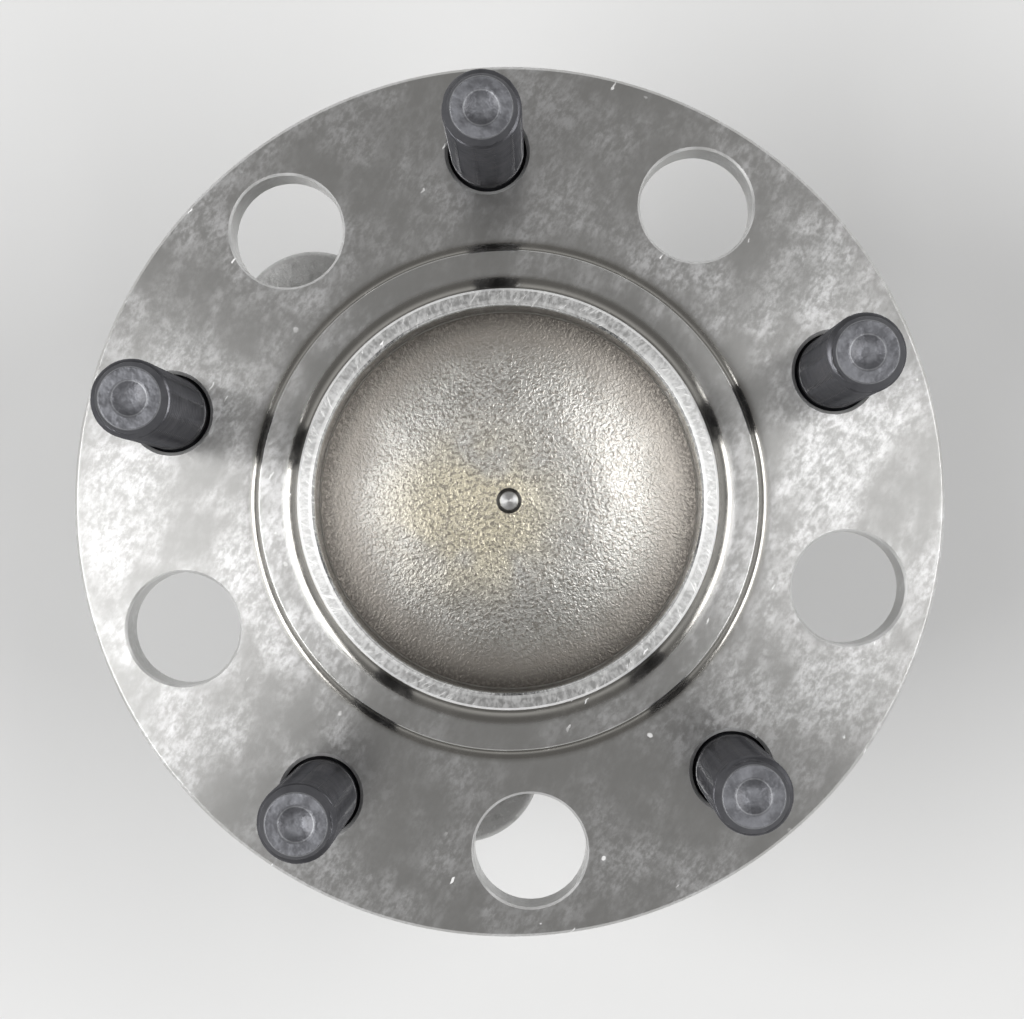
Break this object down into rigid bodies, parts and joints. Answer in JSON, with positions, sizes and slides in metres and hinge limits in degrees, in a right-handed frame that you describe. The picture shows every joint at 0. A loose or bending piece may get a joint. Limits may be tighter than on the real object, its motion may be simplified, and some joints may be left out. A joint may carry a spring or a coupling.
{
  "type": "wheel hub bearing",
  "caption": "Flanged wheel hub bearing unit with threaded wheel studs, a centre pilot, two rows of caged balls, a knuckle flange with ears, and a speed sensor cap.",
  "frame": {"origin": "where the bearing axis meets the flange's wheel face", "axes": "+Z along the bearing axis, outboard to the wheel; X and Y along the sides of the rectangle of knuckle bolts, X along its short side and towards the sensor connector"},
  "size_m": [0.1422, 0.1422, 0.1219],
  "materials": {
    "ground_steel": "turned and ground",
    "black_steel": "black phosphate, oiled",
    "bearing_steel": "ground",
    "plated_steel": "zinc plated",
    "sheet_steel": "pressed sheet",
    "magnet_rubber": "matt",
    "forged_steel": "shot blasted forging",
    "seal_rubber": "matt",
    "black_nylon": "moulded",
    "tinned_brass": "tinned",
    "cage_nylon": "moulded",
    "ball_steel": "polished"
  },
  "bodies": {
    "outer_ring_unit": {"outer_ring": "forged_steel", "seal_case": "sheet_steel", "seal_lip": "seal_rubber", "cap_shell": "plated_steel", "cap_o_ring": "seal_rubber", "sensor_housing": "black_nylon", "sensor_terminals": "tinned_brass"},
    "hub_unit": {"hub_spindle": "ground_steel", "wheel_studs": "black_steel", "inner_ring": "bearing_steel", "spindle_nut": "plated_steel", "encoder_carrier": "sheet_steel", "encoder_magnet": "magnet_rubber"},
    "outboard_cage": {"outboard_cage": "cage_nylon"},
    "inboard_cage": {"inboard_cage": "cage_nylon"},
    "outboard_ball_01": {"outboard_ball_01": "ball_steel"},
    "outboard_ball_02": {"outboard_ball_02": "ball_steel"},
    "outboard_ball_03": {"outboard_ball_03": "ball_steel"},
    "outboard_ball_04": {"outboard_ball_04": "ball_steel"},
    "outboard_ball_05": {"outboard_ball_05": "ball_steel"},
    "outboard_ball_06": {"outboard_ball_06": "ball_steel"},
    "outboard_ball_07": {"outboard_ball_07": "ball_steel"},
    "outboard_ball_08": {"outboard_ball_08": "ball_steel"},
    "outboard_ball_09": {"outboard_ball_09": "ball_steel"},
    "outboard_ball_10": {"outboard_ball_10": "ball_steel"},
    "outboard_ball_11": {"outboard_ball_11": "ball_steel"},
    "outboard_ball_12": {"outboard_ball_12": "ball_steel"},
    "outboard_ball_13": {"outboard_ball_13": "ball_steel"},
    "inboard_ball_01": {"inboard_ball_01": "ball_steel"},
    "inboard_ball_02": {"inboard_ball_02": "ball_steel"},
    "inboard_ball_03": {"inboard_ball_03": "ball_steel"},
    "inboard_ball_04": {"inboard_ball_04": "ball_steel"},
    "inboard_ball_05": {"inboard_ball_05": "ball_steel"},
    "inboard_ball_06": {"inboard_ball_06": "ball_steel"},
    "inboard_ball_07": {"inboard_ball_07": "ball_steel"},
    "inboard_ball_08": {"inboard_ball_08": "ball_steel"},
    "inboard_ball_09": {"inboard_ball_09": "ball_steel"},
    "inboard_ball_10": {"inboard_ball_10": "ball_steel"},
    "inboard_ball_11": {"inboard_ball_11": "ball_steel"},
    "inboard_ball_12": {"inboard_ball_12": "ball_steel"},
    "inboard_ball_13": {"inboard_ball_13": "ball_steel"}
  },
  "joints": [
    {"name": "hub_spin", "type": "hinge", "parent": "outer_ring_unit", "child": "hub_unit", "pos_m": [0, 0, 0], "axis": [0, 0, 1], "continuous": true},
    {"name": "outboard_cage_spin", "type": "hinge", "parent": "outer_ring_unit", "child": "outboard_cage", "pos_m": [0, 0, -0.02666], "axis": [0, 0, 1], "continuous": true},
    {"name": "inboard_cage_spin", "type": "hinge", "parent": "outer_ring_unit", "child": "inboard_cage", "pos_m": [0, 0, -0.04806], "axis": [0, 0, 1], "continuous": true},
    {"name": "outboard_ball_01_roll", "type": "hinge", "parent": "outboard_cage", "child": "outboard_ball_01", "pos_m": [0.02722, 0, -0.02666], "axis": [0.6428, 0, 0.766], "continuous": true},
    {"name": "outboard_ball_02_roll", "type": "hinge", "parent": "outboard_cage", "child": "outboard_ball_02", "pos_m": [0.0241, 0.01265, -0.02666], "axis": [0.5692, 0.2987, 0.766], "continuous": true},
    {"name": "outboard_ball_03_roll", "type": "hinge", "parent": "outboard_cage", "child": "outboard_ball_03", "pos_m": [0.01546, 0.0224, -0.02666], "axis": [0.3651, 0.529, 0.766], "continuous": true},
    {"name": "outboard_ball_04_roll", "type": "hinge", "parent": "outboard_cage", "child": "outboard_ball_04", "pos_m": [0.00328, 0.02702, -0.02666], "axis": [0.0775, 0.6381, 0.766], "continuous": true},
    {"name": "outboard_ball_05_roll", "type": "hinge", "parent": "outboard_cage", "child": "outboard_ball_05", "pos_m": [-0.00965, 0.02545, -0.02666], "axis": [-0.2279, 0.601, 0.766], "continuous": true},
    {"name": "outboard_ball_06_roll", "type": "hinge", "parent": "outboard_cage", "child": "outboard_ball_06", "pos_m": [-0.02037, 0.01805, -0.02666], "axis": [-0.4811, 0.4262, 0.766], "continuous": true},
    {"name": "outboard_ball_07_roll", "type": "hinge", "parent": "outboard_cage", "child": "outboard_ball_07", "pos_m": [-0.02643, 0.00651, -0.02666], "axis": [-0.6241, 0.1538, 0.766], "continuous": true},
    {"name": "outboard_ball_08_roll", "type": "hinge", "parent": "outboard_cage", "child": "outboard_ball_08", "pos_m": [-0.02643, -0.00651, -0.02666], "axis": [-0.6241, -0.1538, 0.766], "continuous": true},
    {"name": "outboard_ball_09_roll", "type": "hinge", "parent": "outboard_cage", "child": "outboard_ball_09", "pos_m": [-0.02037, -0.01805, -0.02666], "axis": [-0.4811, -0.4262, 0.766], "continuous": true},
    {"name": "outboard_ball_10_roll", "type": "hinge", "parent": "outboard_cage", "child": "outboard_ball_10", "pos_m": [-0.00965, -0.02545, -0.02666], "axis": [-0.2279, -0.601, 0.766], "continuous": true},
    {"name": "outboard_ball_11_roll", "type": "hinge", "parent": "outboard_cage", "child": "outboard_ball_11", "pos_m": [0.00328, -0.02702, -0.02666], "axis": [0.0775, -0.6381, 0.766], "continuous": true},
    {"name": "outboard_ball_12_roll", "type": "hinge", "parent": "outboard_cage", "child": "outboard_ball_12", "pos_m": [0.01546, -0.0224, -0.02666], "axis": [0.3651, -0.529, 0.766], "continuous": true},
    {"name": "outboard_ball_13_roll", "type": "hinge", "parent": "outboard_cage", "child": "outboard_ball_13", "pos_m": [0.0241, -0.01265, -0.02666], "axis": [0.5692, -0.2987, 0.766], "continuous": true},
    {"name": "inboard_ball_01_roll", "type": "hinge", "parent": "inboard_cage", "child": "inboard_ball_01", "pos_m": [0.02722, 0, -0.04806], "axis": [-0.6428, 0, 0.766], "continuous": true},
    {"name": "inboard_ball_02_roll", "type": "hinge", "parent": "inboard_cage", "child": "inboard_ball_02", "pos_m": [0.0241, 0.01265, -0.04806], "axis": [-0.5692, -0.2987, 0.766], "continuous": true},
    {"name": "inboard_ball_03_roll", "type": "hinge", "parent": "inboard_cage", "child": "inboard_ball_03", "pos_m": [0.01546, 0.0224, -0.04806], "axis": [-0.3651, -0.529, 0.766], "continuous": true},
    {"name": "inboard_ball_04_roll", "type": "hinge", "parent": "inboard_cage", "child": "inboard_ball_04", "pos_m": [0.00328, 0.02702, -0.04806], "axis": [-0.0775, -0.6381, 0.766], "continuous": true},
    {"name": "inboard_ball_05_roll", "type": "hinge", "parent": "inboard_cage", "child": "inboard_ball_05", "pos_m": [-0.00965, 0.02545, -0.04806], "axis": [0.2279, -0.601, 0.766], "continuous": true},
    {"name": "inboard_ball_06_roll", "type": "hinge", "parent": "inboard_cage", "child": "inboard_ball_06", "pos_m": [-0.02037, 0.01805, -0.04806], "axis": [0.4811, -0.4262, 0.766], "continuous": true},
    {"name": "inboard_ball_07_roll", "type": "hinge", "parent": "inboard_cage", "child": "inboard_ball_07", "pos_m": [-0.02643, 0.00651, -0.04806], "axis": [0.6241, -0.1538, 0.766], "continuous": true},
    {"name": "inboard_ball_08_roll", "type": "hinge", "parent": "inboard_cage", "child": "inboard_ball_08", "pos_m": [-0.02643, -0.00651, -0.04806], "axis": [0.6241, 0.1538, 0.766], "continuous": true},
    {"name": "inboard_ball_09_roll", "type": "hinge", "parent": "inboard_cage", "child": "inboard_ball_09", "pos_m": [-0.02037, -0.01805, -0.04806], "axis": [0.4811, 0.4262, 0.766], "continuous": true},
    {"name": "inboard_ball_10_roll", "type": "hinge", "parent": "inboard_cage", "child": "inboard_ball_10", "pos_m": [-0.00965, -0.02545, -0.04806], "axis": [0.2279, 0.601, 0.766], "continuous": true},
    {"name": "inboard_ball_11_roll", "type": "hinge", "parent": "inboard_cage", "child": "inboard_ball_11", "pos_m": [0.00328, -0.02702, -0.04806], "axis": [-0.0775, 0.6381, 0.766], "continuous": true},
    {"name": "inboard_ball_12_roll", "type": "hinge", "parent": "inboard_cage", "child": "inboard_ball_12", "pos_m": [0.01546, -0.0224, -0.04806], "axis": [-0.3651, 0.529, 0.766], "continuous": true},
    {"name": "inboard_ball_13_roll", "type": "hinge", "parent": "inboard_cage", "child": "inboard_ball_13", "pos_m": [0.0241, -0.01265, -0.04806], "axis": [-0.5692, 0.2987, 0.766], "continuous": true}
  ],
  "couplings": [
    {"joint": "outboard_cage_spin", "follows": "hub_spin", "ratio": 0.42182},
    {"joint": "inboard_cage_spin", "follows": "hub_spin", "ratio": 0.42182},
    {"joint": "outboard_ball_01_roll", "follows": "hub_spin", "ratio": -2.3896},
    {"joint": "outboard_ball_02_roll", "follows": "hub_spin", "ratio": -2.3896},
    {"joint": "outboard_ball_03_roll", "follows": "hub_spin", "ratio": -2.3896},
    {"joint": "outboard_ball_04_roll", "follows": "hub_spin", "ratio": -2.3896},
    {"joint": "outboard_ball_05_roll", "follows": "hub_spin", "ratio": -2.3896},
    {"joint": "outboard_ball_06_roll", "follows": "hub_spin", "ratio": -2.3896},
    {"joint": "outboard_ball_07_roll", "follows": "hub_spin", "ratio": -2.3896},
    {"joint": "outboard_ball_08_roll", "follows": "hub_spin", "ratio": -2.3896},
    {"joint": "outboard_ball_09_roll", "follows": "hub_spin", "ratio": -2.3896},
    {"joint": "outboard_ball_10_roll", "follows": "hub_spin", "ratio": -2.3896},
    {"joint": "outboard_ball_11_roll", "follows": "hub_spin", "ratio": -2.3896},
    {"joint": "outboard_ball_12_roll", "follows": "hub_spin", "ratio": -2.3896},
    {"joint": "outboard_ball_13_roll", "follows": "hub_spin", "ratio": -2.3896},
    {"joint": "inboard_ball_01_roll", "follows": "hub_spin", "ratio": -2.3896},
    {"joint": "inboard_ball_02_roll", "follows": "hub_spin", "ratio": -2.3896},
    {"joint": "inboard_ball_03_roll", "follows": "hub_spin", "ratio": -2.3896},
    {"joint": "inboard_ball_04_roll", "follows": "hub_spin", "ratio": -2.3896},
    {"joint": "inboard_ball_05_roll", "follows": "hub_spin", "ratio": -2.3896},
    {"joint": "inboard_ball_06_roll", "follows": "hub_spin", "ratio": -2.3896},
    {"joint": "inboard_ball_07_roll", "follows": "hub_spin", "ratio": -2.3896},
    {"joint": "inboard_ball_08_roll", "follows": "hub_spin", "ratio": -2.3896},
    {"joint": "inboard_ball_09_roll", "follows": "hub_spin", "ratio": -2.3896},
    {"joint": "inboard_ball_10_roll", "follows": "hub_spin", "ratio": -2.3896},
    {"joint": "inboard_ball_11_roll", "follows": "hub_spin", "ratio": -2.3896},
    {"joint": "inboard_ball_12_roll", "follows": "hub_spin", "ratio": -2.3896},
    {"joint": "inboard_ball_13_roll", "follows": "hub_spin", "ratio": -2.3896}
  ]
}
